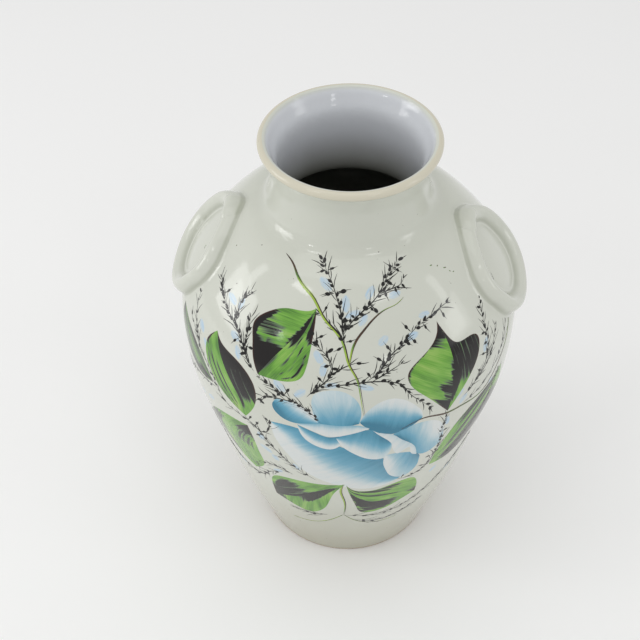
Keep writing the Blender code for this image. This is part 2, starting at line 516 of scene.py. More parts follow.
PETAL_STOPS = (
    (0.00, (0.700, 0.730, 0.720)),
    (0.16, (0.560, 0.660, 0.690)),
    (0.34, (0.310, 0.510, 0.600)),
    (0.56, (0.130, 0.375, 0.520)),
    (0.80, (0.065, 0.290, 0.425)),
    (1.00, (0.026, 0.190, 0.300)),
)
GREEN_LIGHT = (0.310, 0.500, 0.120)
GREEN_MID = (0.170, 0.400, 0.060)
GREEN_DEEP = (0.085, 0.220, 0.038)
LEAF_GREY = (0.100, 0.140, 0.095)
LEAF_BLACK = (0.010, 0.008, 0.008)
LEAF_BROWN = (0.060, 0.016, 0.009)
TWIG_BLACK = (0.010, 0.010, 0.009)
TWIG_FADED = (0.190, 0.195, 0.205)
STEM_LIME = (0.330, 0.480, 0.060)
STEM_BROWN = (0.080, 0.036, 0.016)
DAB_BLUE = (0.440, 0.590, 0.720)
LEAF_STOPS = ((0.3, GREEN_DEEP), (0.5, GREEN_MID), (0.72, GREEN_LIGHT))
STEM_STOPS = ((0.25, STEM_LIME), (0.5, GREEN_DEEP), (0.7, STEM_BROWN), (1.0, TWIG_BLACK))


def petal_material():
    shader = Shader("rose_enamel")
    broad = shader.hairs(0.30, 0.045, detail=3.0)
    hairs = shader.hairs(1.9, 0.10, 7.0)
    depth = shader.sway(shader.value("tone"), broad, 0.30)
    depth = shader.sway(depth, hairs, 0.12)
    paint = shader.ramp(depth, PETAL_STOPS)
    strokes = shader.hairs(2.6, 0.12)
    return shader.finish(covered(shader, paint), 0.13, glaze_surface(shader, strokes))


def leaf_material():
    """Green brushed over with black that feathers out along the veins, browner at the rim."""
    shader = Shader("leaf_enamel", specular=0.38)
    broad = shader.hairs(0.16, 0.05, 3.0)
    hairs = shader.hairs(0.62, 0.030)
    fine = shader.hairs(2.2, 0.06, 5.0)
    green = shader.ramp(shader.sway(broad, fine, 0.5), LEAF_STOPS)
    dark = shader.sway(shader.sway(shader.value("tone"), hairs, 1.5), fine, 0.55)
    rim = shader.rise(shader.value("rim"), 0.0, 1.6, 1.0, 0.0)
    black = shader.blend(rim, LEAF_BLACK, LEAF_BROWN)
    paint = shader.blend(shader.rise(dark, 0.26, 0.50), green, LEAF_GREY)
    paint = shader.blend(shader.rise(dark, 0.44, 0.62), paint, black)
    return shader.finish(covered(shader, paint), 0.13, glaze_surface(shader, hairs))


def stem_material():
    shader = Shader("stem_enamel")
    shade = shader.sway(shader.value("tone"), shader.hairs(1.5, 0.10, detail=3.0), 0.7)
    paint = shader.ramp(shade, STEM_STOPS)
    return shader.finish(covered(shader, paint), 0.13, glaze_surface(shader))


def twig_material():
    shader = Shader("twig_enamel", specular=0.38)
    shade = shader.sway(shader.value("tone"), shader.noise(180.0, 2.0), 0.35)
    paint = shader.ramp(shade, ((0.0, TWIG_FADED), (0.75, TWIG_BLACK)))
    return shader.finish(covered(shader, paint), 0.15, glaze_surface(shader))


def dab_material():
    shader = Shader("pale_blue_enamel")
    streaks = shader.hairs(1.6, 0.15)
    paint = shader.blend(shader.rise(streaks, 0.3, 0.75, 0.0, 0.7), DAB_BLUE, GLAZE_LIGHT)
    return shader.finish(covered(shader, paint, (0.0, 0.6)), 0.13, glaze_surface(shader, streaks))


# -------- turned clay


def wall_rows(start, end, spacing):
    """The outside between two distances down it, with its normals."""
    where = np.linspace(start, end, max(2, int((end - start) / spacing) + 1))
    radius, height, outward, upward = outside_at(where)
    return np.stack([radius, height], 1), np.stack([outward, upward], 1)


def inside_rows():
    """The whole inner wall from the lip down, its normals, and its row at the neck joint."""
    curve = spline(INSIDE, INSIDE_POINTS)
    facing = -across(curve)
    joint = int(np.argmin(np.abs(curve[:, 1] - JOINT_HEIGHT)))
    return curve, facing, joint


def down_at_radius(radius):
    """The distance down to a radius on the shoulder, above the widest place."""
    widest = int(np.argmax(OUTSIDE[:, 0]))
    narrowest = int(np.argmin(OUTSIDE[:widest, 0]))
    shoulder = slice(narrowest, widest)
    return float(np.interp(radius, OUTSIDE[shoulder, 0], DOWN[shoulder]))


def make_body(material):
    outer, outer_facing = wall_rows(0.0, down_at(FOOT_HEIGHT), BODY_SPACING)
    inner, inner_facing, joint = inside_rows()
    inner, inner_facing = inner[joint:], inner_facing[joint:]
    corner_radius = inner[-1, 0] - FLOOR_CORNER - FLOOR_CORNER_INSET
    corner_centre = (corner_radius, FLOOR_HEIGHT + FLOOR_CORNER)
    corner, corner_away = arc(corner_centre, FLOOR_CORNER, -8, -90, 9)
    floor = np.stack([np.linspace(corner[-1, 0], 0.0, 10)[1:], np.full(9, FLOOR_HEIGHT)], 1)
    under = np.stack([np.linspace(0.0, outer[-1, 0], 6)[:-1], np.full(5, FOOT_HEIGHT)], 1)
    profile = np.concatenate([floor[::-1], corner[::-1], inner[::-1], outer, under[::-1]])
    upward, downward = np.tile([0.0, 1.0], (9, 1)), np.tile([0.0, -1.0], (5, 1))
    inner_parts = [upward, -corner_away[::-1], inner_facing[::-1]]
    facing = np.concatenate([*inner_parts, outer_facing, downward])
    lining = len(profile) - len(outer) - len(under)
    inside = np.concatenate([np.ones(lining), np.zeros(len(outer) + len(under))])
    zero = np.zeros(len(profile))
    values = {"inside": inside, "lip": zero, "pool_and_shade": zero}
    turned("glazed_body", profile, facing, material, ("body",), values)


def make_neck(material):
    outer, outer_facing = wall_rows(DOWN[0], 0.0, NECK_SPACING)
    inner, inner_facing, joint = inside_rows()
    inner, inner_facing = inner[: joint + 1], inner_facing[: joint + 1]
    lip, lip_facing = arc(LIP_CENTRE, LIP_RADIUS, *LIP_ARC[::-1], 24)
    lip, lip_facing = lip[1:-1], lip_facing[1:-1]
    profile = np.concatenate([inner[::-1], lip, outer])
    facing = np.concatenate([inner_facing[::-1], lip_facing, outer_facing])
    tan = held((profile[:, 1] - TAN_START) / TAN_RISE) ** 2
    tan[: len(inner)] = 0.0
    tan[len(inner) : len(inner) + len(lip)] *= held((lip_facing[:, 0] + 0.30) / 0.35)
    inside = np.zeros(len(profile))
    lip_top = LIP_CENTRE[1] + LIP_RADIUS
    inside[: len(inner)] = held((lip_top - inner[::-1, 1]) / LINING_FADE)
    values = {"inside": inside, "lip": tan, "pool_and_shade": np.zeros(len(profile))}
    turned("glazed_neck", profile, facing, material, ("neck",), values)


def make_foot(material):
    """The turned foot: glazed on its outside, bare and rounded where it rests."""
    outer, outer_facing = wall_rows(down_at(FOOT_HEIGHT), down_at(FOOT_WALL_END), FOOT_SPACING)
    outer_centre = (outer[-1, 0] - FOOT_OUTER_ROUND, FOOT_OUTER_ROUND)
    inner_centre = (FOOT_REST_INSIDE, FOOT_INNER_ROUND)
    round_out, out_facing = arc(outer_centre, FOOT_OUTER_ROUND, 0, -90, 7)
    round_in, in_facing = arc(inner_centre, FOOT_INNER_ROUND, -90, -180, 7)
    profile = np.concatenate([outer, round_out, round_in, [(FOOT_INSIDE_TOP, FOOT_HEIGHT)]])
    facing = np.concatenate([outer_facing, out_facing, in_facing, [(-1.0, 0.0)]])
    glazed = np.zeros(len(profile))
    glazed[: len(outer)] = held((outer[:, 1] - GLAZE_STOPS) / GLAZE_FADE)
    values = {"glazed": glazed}
    turned("foot_ring_clay", profile, facing, material, ("foot_ring",), values)


# -------- handles


def oval(angles):
    """Points (down, sideways) round the handle's oval, and their outward directions."""
    turn = np.radians(angles)
    unit = np.stack([np.cos(turn), np.sin(turn)], 1)
    power = np.where(unit[:, :1] < 0, HANDLE_TOP_SQUARENESS, 2.0)
    share = np.sign(unit) * np.abs(unit) ** (2 / power)
    size = np.array([HANDLE_HALF_LENGTH, HANDLE_HALF_WIDTH])
    outward = np.sign(share) * np.abs(share) ** (power - 1) / size
    return share * size, outward / np.linalg.norm(outward, axis=1)[:, None]


def coil_lift(offset, half_width, stand):
    """A round coil whose foot runs out into the shoulder through a soft fillet of glaze."""
    reach = half_width + FILLET
    share = held(np.abs(offset) / reach)
    crown = np.sqrt(held(1 - (np.abs(offset) / half_width) ** 2))
    skirt = (1 + np.cos(math.pi * share)) / 2
    return stand * (0.45 * crown * skirt**0.2 + 0.55 * skirt**1.15) + SUNK * 4 * share**8


def lay_coil(build, side, angles, half_width, stand, ring):
    """A coil pressed on the shoulder along the oval, closed on itself if it is a ring.

    "along" is millimetres down the shoulder and "sideways" towards the back, from its centre.
    """
    reach = half_width[:, None] + FILLET
    offset = np.sin(np.radians(np.linspace(-90, 90, COIL_COLUMNS))) * reach
    middle, outward = oval(angles)
    along = middle[:, :1] + outward[:, :1] * offset
    sideways = middle[:, 1:] + outward[:, 1:] * offset
    high = held(0.4 - along / HANDLE_HALF_LENGTH)
    near = held(-sideways / HANDLE_HALF_WIDTH)
    along = along + HANDLE_SAG * high * near
    sideways = sideways - HANDLE_PUSH * high * near
    centre = down_at_radius(HANDLE_CENTRE_RADIUS)
    lift = coil_lift(offset, half_width[:, None], stand[:, None])
    angle = side * (90 - HANDLE_FORWARD + np.degrees(sideways / HANDLE_CENTRE_RADIUS))
    top = on_vase(angle, centre + along, lift)
    back = on_vase(angle, centre + along, COIL_BACK)
    down_step = np.gradient(top, axis=1)
    if ring:
        padded = np.concatenate([top[-1:], top, top[:1]])
        round_step = (padded[2:] - padded[:-2]) / 2
    else:
        round_step = np.gradient(top, axis=0)
    facing = np.cross(down_step, round_step)
    facing /= np.linalg.norm(facing, axis=2)[:, :, None]
    vase_facing = normal_at(angle, centre + along)
    turn = np.sign((facing * vase_facing).sum(-1, keepdims=True))
    # Where glaze pools in the fillet at the coil's foot, with painted shade in that crease
    pool_and_shade = held((np.abs(offset) - half_width[:, None] * 0.75) / (FILLET * 0.9))
    pool_and_shade = np.sin(pool_and_shade * math.pi) * 0.9
    nothing = np.zeros_like(pool_and_shade)
    values = {"inside": nothing, "lip": nothing, "pool_and_shade": pool_and_shade}
    build.shell(top, back, facing * turn, values, ring=ring)


def make_handle(word, side, material):
    """The coil all the way round the oval, and the lug pressed over its joined top."""
    angles = np.linspace(0, 360, RING_ROWS, endpoint=False)
    turn = np.radians(angles)
    at_top = held((-np.cos(turn) - 0.55) / 0.45)
    near_side = held(-np.sin(turn)) * held(0.5 - np.cos(turn))
    width = COIL_HALF_WIDTH + COIL_TOP_SWELL * at_top + COIL_NEAR_SWELL * near_side
    stand = COIL_STAND * (1 - COIL_TOP_FLATTENING * at_top)
    ring = Build()
    lay_coil(ring, side, angles, width, stand, True)
    ring.piece(word + "_ring_coil", material, (word + "_handle_ring",))
    lug_angles = np.linspace(180 - LUG_HALF_ANGLE, 180 + LUG_HALF_ANGLE, LUG_ROWS)
    ends = held(1 - np.abs(lug_angles - 180) / LUG_HALF_ANGLE)
    swell = np.sin(math.pi / 2 * held(ends / 0.7))
    width = LUG_HALF_WIDTH * (0.55 + 0.55 * swell)
    stand = LUG_STAND * (0.45 + 0.55 * swell)
    lug = Build()
    lay_coil(lug, side, lug_angles, width, stand, False)
    lug.piece(word + "_pressed_lug", material, (word + "_handle_lug",))


# -------- paint films


def lay(build, angle, down, height, values, pointed):
    """A film on the glaze, from tables of angle, distance down and height above the glaze."""
    normals = normal_at(angle, down)
    top = on_vase(angle, down, height)
    back = on_vase(angle, down, BACK)
    build.shell(top, back, normals, values, pointed=pointed)


def patch(first, second, along_count, across_count, seam=False):
    """Tables between two edges that share their ends: angle, down, shares and border distance.

    At a seam the first edge is no border, because another film goes on behind it.
    """
    edge_a = spline(first, along_count)
    edge_b = spline(second, along_count)
    share = np.linspace(0, 1, across_count)[None, :]
    angle = edge_a[:, :1] * (1 - share) + edge_b[:, :1] * share
    down = edge_a[:, 1:] * (1 - share) + edge_b[:, 1:] * share
    scale = mm_per_degree(down)
    gap = np.hypot((edge_b - edge_a)[:, :1] * scale, (edge_b - edge_a)[:, 1:])
    to_a = np.full_like(gap, NO_BORDER) if seam else share * gap
    to_b = (1 - share) * gap
    middle = (edge_a + edge_b) / 2 * [PANEL_MM_PER_DEGREE, 1.0]
    run = lengths(middle)[:, None] + 0 * share
    from_ends = np.minimum(run, run[-1] - run)
    rim = np.minimum(np.minimum(to_a, to_b), from_ends * 2)
    return {"angle": angle, "down": down, "along": run, "across": share * gap, "rim": rim,
            "u": run / run[-1], "v": share + 0 * run}


def film_height(table, lift, crown=0.0):
    """Just above the glaze inside, and sunk into it at the border."""
    edge = held(table["rim"] / 0.6)
    return SUNK + (lift - SUNK) * edge + crown * np.sin(math.pi * table["v"]) * edge


def box_share(value, low, high, soft):
    """One between low and high, falling to zero over a soft margin on each side."""
    rise = held((value - low) / soft + 0.5)
    fall = held((high - value) / soft + 0.5)
    return rise * rise * (3 - 2 * rise) * fall * fall * (3 - 2 * fall)


def grain_of(table, kind, slant=0.0):
    """Brush coordinates: hairs run along the piece, or across it from edge to edge."""
    along, across_mm = table["along"], table["across"]
    if kind == "along":
        pair = (across_mm + slant * along, along)
    else:
        pair = (along + slant * across_mm, across_mm)
    shift = 40.0 + table["angle"].mean()
    return np.stack([pair[0] + shift, pair[1] + shift, 0 * along], -1)


# -------- the rose

# Each petal: name, the head and tail where its edges meet, the first and second edge between them,
# blueness at (head, tail, first edge, second edge), how fast it falls off, lift above the glaze,
# and soft border widths of the two edges. Places are (angle, down).
PETALS = (
    ("rose_petal_back_left", (-20, 80), (-3, 89),
     ((-18, 77), (-16, 76.5), (-13, 77), (-9, 79), (-5.5, 83)),
     ((-20.3, 84), (-18.5, 89), (-16, 91.5), (-13, 92.3), (-8.5, 91)),
     (0.42, -0.15, -0.05, 0.88), 1.0, 0.05, (1.0, 0.7)),
    ("rose_petal_back_middle", (-5, 89), (8, 88),
     ((-6.6, 82), (-7.2, 76), (-7, 71), (-5.5, 67.6), (-3, 66), (0, 65.2), (3, 66), (6, 69), (8, 74),
      (8.6, 81)),
     ((-2, 90), (1.5, 90.5)),
     (0.46, 0.66, -0.05, 0.50), 1.2, 0.06, (0.8, 0.7)),
    ("rose_petal_back_right", (8, 87), (29, 92),
     ((9.4, 81), (12, 76), (14.5, 73.2), (18, 72), (22, 74), (26, 80), (28.5, 86)),
     ((11, 93), (15, 97.5), (19, 99.5), (24, 97.5)),
     (0.42, 0.15, -0.12, 0.98), 0.9, 0.05, (1.3, 0.7)),
    ("rose_petal_far_right", (18.5, 100), (38, 108),
     ((22, 96.8), (26.5, 95.4), (31.5, 96.4), (35.5, 100.5)),
     ((22.5, 107), (25.8, 116), (28.5, 125), (32.5, 129), (36.5, 126), (38.4, 118)),
     (0.65, -0.50, 0.18, 0.72), 1.2, 0.05, (1.0, 0.9)),
    ("rose_bowl", (-21.5, 97), (25, 152),
     ((-16, 95.5), (-11, 96), (-6, 101), (0, 105), (8, 112), (17, 121), (23, 136)),
     ((-21.3, 106), (-19.2, 116.5), (-16, 127), (-12, 139.5), (-6, 148.6), (0, 153.5), (7, 158),
      (14, 159.5), (19.5, 157.5)),
     (0.02, 0.32, 0.80, -0.28), 1.05, 0.04, (0.7, 3.0)),
    ("rose_side_round", (17, 118), (30.5, 129),
     ((20, 117.6), (23.5, 119), (26.5, 121)),
     ((16.6, 126), (18.2, 137), (22, 148.5), (25.5, 151.5), (29, 148), (30.8, 139)),
     (-0.30, 0.72, 0.55, 0.00), 1.0, 0.07, (0.8, 0.8)),
    ("rose_petal_inner_left", (-12, 92.5), (2.4, 101),
     ((-9, 94.5), (-5, 97.3), (-1, 99), (2, 98)),
     ((-11.2, 99), (-9, 105), (-6, 108.6), (-1.4, 110.4), (1.2, 108)),
     (0.10, 0.20, 0.80, -0.18), 1.0, 0.09, (0.6, 0.6)),
    ("rose_petal_inner_middle", (0.4, 99.5), (19, 106),
     ((4, 96), (8, 93.4), (12, 93), (15.6, 98)),
     ((2.2, 106), (5, 111.6), (8.5, 117), (12, 120.6), (15.5, 121.6), (18, 117.5)),
     (0.10, 0.42, 0.76, -0.14), 1.15, 0.10, (0.6, 0.6)),
    ("rose_turned_edge_left", (-12.4, 92), (11.5, 92),
     ((-8, 90), (-3, 88.8), (2, 89.2), (7, 88.8)),
     ((-9, 94.4), (-5, 97.2), (-1, 99), (3, 97.6), (7.5, 95)),
     (0.10, 0.05, 0.42, -0.08), 0.6, 0.15, (0.6, 0.6)),
    ("rose_turned_edge_right", (11.6, 92.6), (29, 126),
     ((15, 96.6), (19, 99.6), (21.5, 104), (23.5, 107.6), (26, 112)),
     ((14, 98), (16.4, 102.4), (18.4, 107), (19.4, 113.5), (21.5, 119), (23.2, 115), (24, 114.5),
      (26.5, 123)),
     (0.05, 0.05, 0.20, 0.00), 0.6, 0.16, (0.6, 0.6)),
)


def make_petals(material):
    for name, head, tail, first, second, blueness, fall, lift, soft in PETALS:
        table = patch((head, *first, tail), (head, *second, tail), *PETAL_GRID)
        u, v = table["u"], table["v"]
        start, end, near, far = blueness
        share = v**fall * v**fall * (3 - 2 * v**fall)
        tone = near * (1 - share) + far * share + start * (1 - u) ** 2.5 + end * u**2.5
        gap = table["across"][:, -1:]
        cover_near = held(v * gap / soft[0])
        cover_far = held((1 - v) * gap / soft[1])
        from_ends = np.minimum(table["along"], table["along"][-1] - table["along"])
        cover = np.minimum(np.minimum(cover_near, cover_far), held(from_ends))
        values = {"tone": np.clip(tone, 0, 1.05), "cover": cover, "grain": grain_of(table, "across")}
        crown = TURNED_EDGE_CROWN if "turned" in name else 0.0
        build = Build()
        lay(build, table["angle"], table["down"], film_height(table, lift, crown), values, (True, True))
        build.piece(name, material)


# -------- leaves

# Each leaf: name, the head and tail of its midrib, and between them the left edge, the midrib and
# the right edge. Then for the left and the right half: how its brush hairs run, their slant, and
# its dark areas, as shares (from, to) of the way to the tail and (from, to) of the way out from
# the midrib, and strength
LEAVES = (
    ("leaf_upper_left", (-9, 25), (-26, 67),
     ((-11, 26.6), (-21, 28.6), (-29, 34), (-33, 42), (-31.5, 49), (-29, 59)),
     ((-14, 38), (-20, 51)),
     ((-8.6, 32), (-8.8, 44), (-9.6, 56), (-12, 63), (-18, 66)),
     ("across", -0.55, ((0.36, 1.0, 0.82, 1.2, 1.15), (0.40, 0.62, 0.30, 0.95, 0.52),
      (0.66, 1.2, 0.30, 1.2, 1.2), (0.60, 1.2, -0.1, 0.5, 1.0), (0.0, 0.6, -0.2, 0.06, 0.8))),
     ("along", 0.0, ((-0.1, 0.32, 0.50, 1.1, 1.1), (0.08, 0.46, -0.1, 0.26, 0.9),
      (0.30, 0.70, 0.30, 0.38, 0.66), (0.36, 0.80, 0.54, 0.61, 0.66), (0.36, 0.84, 0.78, 0.85, 0.6),
      (0.62, 1.0, -0.1, 0.08, 0.6)))),
    ("leaf_left", (-46, 58), (-31, 103),
     ((-49, 64), (-50, 72), (-48.5, 81), (-43, 93)),
     ((-43, 66), (-38, 78), (-33, 91)),
     ((-42.5, 62), (-35, 65), (-28.5, 71), (-26, 81), (-27.5, 93)),
     ("along", 0.0, ((0.02, 0.20, 0.80, 1.1, 0.9), (0.30, 0.95, 0.78, 0.86, 0.70),
      (0.2, 0.9, 0.54, 0.62, 0.68), (0.3, 0.9, 0.30, 0.40, 0.62))),
     ("along", 0.1, ((-0.1, 0.42, -0.1, 1.2, 1.1), (0.3, 0.72, -0.1, 1.2, 0.74),
      (0.55, 0.9, -0.1, 0.3, 0.8)))),
    ("leaf_far_left", (-70, 68), (-46, 95),
     ((-71, 84), (-64, 95), (-55, 99)),
     ((-63, 79), (-55, 88)),
     ((-62, 73), (-53, 81)),
     ("along", 0.0, ((-0.1, 1.1, -0.1, 1.2, 0.45), (0.0, 1.0, 0.70, 1.1, 0.72),
      (0.7, 1.1, -0.1, 0.6, 0.8))),
     ("along", 0.0, ((-0.1, 1.1, -0.1, 1.2, 0.40), (0.2, 0.6, 0.5, 1.0, 0.66)))),
    ("leaf_upper_right", (39, 39), (38.5, 96),
     ((37.5, 45), (34, 50), (28, 55), (24, 60), (24.5, 67), (29, 76), (34, 86)),
     ((40.5, 50), (41, 62), (40.5, 78)),
     ((41.5, 49), (45, 55), (49, 55.5), (52.5, 56.5), (53, 65), (48, 77), (42, 89)),
     ("across", 0.75, ((0.05, 0.50, 0.94, 1.1, 0.9), (-0.1, 0.20, 0.0, 1.2, 1.0),
      (0.80, 1.2, -0.1, 1.2, 0.95), (0.60, 0.9, -0.1, 0.45, 0.66), (0.4, 1.0, -0.1, 0.08, 0.9))),
     ("along", -0.1, ((-0.1, 0.30, -0.1, 1.2, 1.1), (0.2, 0.70, -0.1, 1.2, 0.72),
      (0.5, 0.86, -0.1, 0.3, 0.8)))),
    ("leaf_lower_left", (-31, 111), (-36, 166),
     ((-40, 114), (-50, 122), (-55, 134), (-50, 150), (-43, 160)),
     ((-37, 119), (-41, 130), (-41, 147)),
     ((-29.5, 122), (-29, 138), (-29.5, 154)),
     ("along", 0.0, ((0.3, 0.85, 0.5, 1.1, 0.62),)),
     ("along", 0.0, ((-0.1, 0.20, -0.1, 1.1, 0.95), (0.1, 0.5, 0.2, 0.8, 0.50)))),
    ("leaf_bottom_left", (-29, 189), (4, 152),
     ((-29, 176), (-24.5, 160), (-16, 156), (-6, 154.5)),
     ((-20, 182), (-10, 172), (-3, 162)),
     ((-22, 193), (-12, 197.5), (-7, 192), (-3, 178), (0, 163)),
     ("along", 0.0, ((-0.1, 0.52, 0.15, 0.85, 0.72), (-0.1, 0.20, -0.1, 1.1, 0.95),
      (-0.1, 0.85, -0.1, 0.14, 0.9))),
     ("across", 0.8, ((-0.1, 0.12, -0.1, 1.1, 0.7), (0.35, 0.90, -0.1, 0.36, 0.74)))),
    ("leaf_bottom_right", (4, 152), (35, 180),
     ((9, 161.5), (16, 162), (24, 157.5), (30, 157), (33.5, 163)),
     ((8, 166), (15, 171), (25, 173)),
     ((5.5, 166), (8.5, 184), (12, 193), (20, 192), (29, 184.5)),
     ("along", 0.0, ((-0.1, 0.6, 0.35, 0.80, 0.72), (0.90, 1.1, -0.1, 1.1, 0.9),
      (-0.1, 0.8, -0.1, 0.12, 0.8))),
     ("along", 0.0, ((0.20, 0.80, 0.30, 0.85, 0.80), (0.05, 0.6, 0.85, 1.1, 0.6)))),
    ("leaf_far_right", (37, 150), (68, 97),
     ((37.5, 136), (40, 122), (45, 110), (56, 101)),
     ((43, 138), (49, 125), (57, 112)),
     ((48, 152), (58, 142), (66, 126), (70, 112)),
     ("along", 0.0, ((0.2, 0.95, 0.1, 0.4, 0.66), (0.5, 1.0, 0.5, 1.0, 0.6))),
     ("along", 0.0, ((0.1, 0.8, 0.15, 1.1, 0.85),))),
    ("leaf_back_upper", (188, 50), (182, 100),
     ((179, 58), (170, 70), (170, 85)),
     ((185, 66), (182, 83)),
     ((194, 62), (200, 74), (197, 90)),
     ("across", 0.5, ((0.1, 0.9, 0.8, 1.1, 0.8), (0.75, 1.1, -0.1, 1.1, 0.9),
      (0.2, 0.9, -0.1, 0.1, 0.8))),
     ("along", 0.0, ((-0.1, 0.35, -0.1, 1.1, 1.0), (0.2, 0.7, 0.2, 1.1, 0.68)))),
    ("leaf_back_lower", (212, 134), (183, 112),
     ((203, 139), (191, 133)),
     ((203, 129), (193, 122)),
     ((207, 119), (196, 111)),
     ("along", 0.0, ((-0.1, 0.3, -0.1, 1.1, 0.9), (0.2, 0.8, 0.4, 1.1, 0.66))),
     ("across", 0.5, ((0.0, 0.6, 0.75, 1.1, 0.7), (0.6, 1.1, -0.1, 0.5, 0.8)))),
)


def dark_share(u, out, areas):
    dark = np.zeros_like(u)
    for first, last, near, far, strength in areas:
        area = box_share(u, first, last, 0.20) * box_share(out, near, far, min(0.16, far - near))
        dark = np.maximum(dark, area * strength)
    return dark


def make_leaves(material):
    for name, head, tail, left, midrib, right, left_half, right_half in LEAVES:
        build = Build()
        rib = (head, *midrib, tail)
        for edge, (kind, slant, areas) in ((left, left_half), (right, right_half)):
            table = patch(rib, (head, *edge, tail), *LEAF_GRID, seam=True)
            dark = dark_share(table["u"], table["v"], areas)
            cover = held(table["rim"] / 0.9)
            values = {"tone": dark, "cover": cover, "rim": np.minimum(table["rim"], 5.0)}
            values["grain"] = grain_of(table, kind, slant)
            lay(build, table["angle"], table["down"], film_height(table, FILM), values, (True, True))
        build.piece(name, material)


# -------- strokes


def turned_by(direction, degrees):
    turn = math.radians(degrees)
    sine, cosine = math.sin(turn), math.cos(turn)
    x, y = direction
    return np.array([x * cosine - y * sine, x * sine + y * cosine])


def moved(place, offset):
    """A place on the vase moved by millimetres sideways and down."""
    return np.array([place[0] + offset[0] / mm_per_degree(place[1]), place[1] + offset[1]])


def stroke(build, path, width, tones, lift, rounded=False, soft=False, stations=9, lean=0.0):
    """One brush stroke along a path. It tapers at both ends, or is rounded like a drop."""
    line = spline(path, stations) if len(path) > 2 else np.linspace(path[0], path[-1], stations)
    scale = np.stack([mm_per_degree(line[:, 1]), np.ones(stations)], 1)
    step = np.gradient(line * scale, axis=0)
    step /= np.maximum(np.linalg.norm(step, axis=1), 1e-9)[:, None]
    side = np.stack([-step[:, 1], step[:, 0]], 1) / scale
    share = np.linspace(0, 1, stations)
    taper = np.sin(math.pi * share) ** 0.5 if rounded else width_along(share, lean)
    count = 5 if soft or rounded else 3
    cross = np.linspace(-1, 1, count)
    half = (width / 2 * taper)[:, None]
    angle = line[:, :1] + side[:, :1] * cross * half
    down = line[:, 1:] + side[:, 1:] * cross * half
    dome = np.sqrt(held(1 - cross**2))
    height = SUNK + (lift - SUNK) * dome * np.ones_like(half)
    edge = (1 - np.abs(cross)) * (1 if soft else 3) + 0 * half
    ends = held(np.minimum(share, 1 - share)[:, None] * (4 if soft else 30))
    run = lengths(line * scale)[:, None] + 0 * cross
    grain = np.stack([cross * half + line[0, 0] * 3, run, 0 * run], -1)
    tone = np.interp(share, np.linspace(0, 1, len(tones)), tones)[:, None] + 0 * cross
    values = {"tone": tone, "cover": held(edge) * ends, "grain": grain}
    lay(build, angle, down, height, values, (True, True))


def width_along(share, lean):
    """Full after a short start and drawn out to a fine end; lean moves the fullest place."""
    peak = 0.25 + lean
    start = held(share / peak) ** 0.6
    end = held((1 - share) / (1 - peak)) ** 0.8
    return np.minimum(start, end)


# Each stem: its path as (angle, down), its width, and its tones from lime at 0 to black at 1
STEMS = (
    (((-35, 4), (-26, 8), (-22, 12), (-16, 17), (-12, 20), (-9, 24), (-6, 29), (-2, 34), (1, 38), (3, 44),
      (4.5, 52), (7, 59), (8, 66), (9.5, 84)), 2.5, (0.9, 0.75, 0.1, 0.2, 0.15, 0.35, 0.1, 0.45, 0.2, 0.75)),
    (((4.5, 53), (6, 43), (7.5, 39), (10, 35), (14, 30), (17, 27.5), (20, 26), (24, 25), (29, 22)), 1.9,
     (0.1, 0.3, 0.75, 0.85, 0.7, 0.15, 0.1)),
    (((20, 98), (30, 93), (38, 97), (44, 98), (54, 100), (63, 92), (68, 84), (72, 72), (74, 60)), 2.2,
     (0.9, 0.75, 0.5, 0.8, 0.3, 0.6)),
    (((3, 151), (2, 162), (3.4, 176), (3, 196)), 2.2, (0.5, 0.1, 0.3, 0.6)),
    (((3, 195), (-4, 206), (-12, 213), (-24, 216)), 1.2, (0.5, 0.2, 0.2)),
    (((3, 195), (9, 205), (18, 211), (30, 210)), 1.2, (0.5, 0.3, 0.3)),
    (((182, 98), (180, 112), (184, 128), (192, 146)), 2.0, (0.6, 0.1, 0.4, 0.3)),
    (((186, 60), (190, 46), (198, 34)), 1.4, (0.4, 0.1, 0.7)),
)


def make_stems(material):
    """Lime strokes with a dark stroke along one side."""
    build = Build()
    for path, width, tones in STEMS:
        points = np.array(path, float)
        stroke(build, points, width, tones, 0.10, stations=40)
        shadow = points + np.array([0.17 * width, 0.0])
        stroke(build, shadow, width * 0.5, (0.9, 0.75, 1.0, 0.8, 1.1), 0.13, stations=40, lean=0.2)
    build.piece("painted_stems", material)


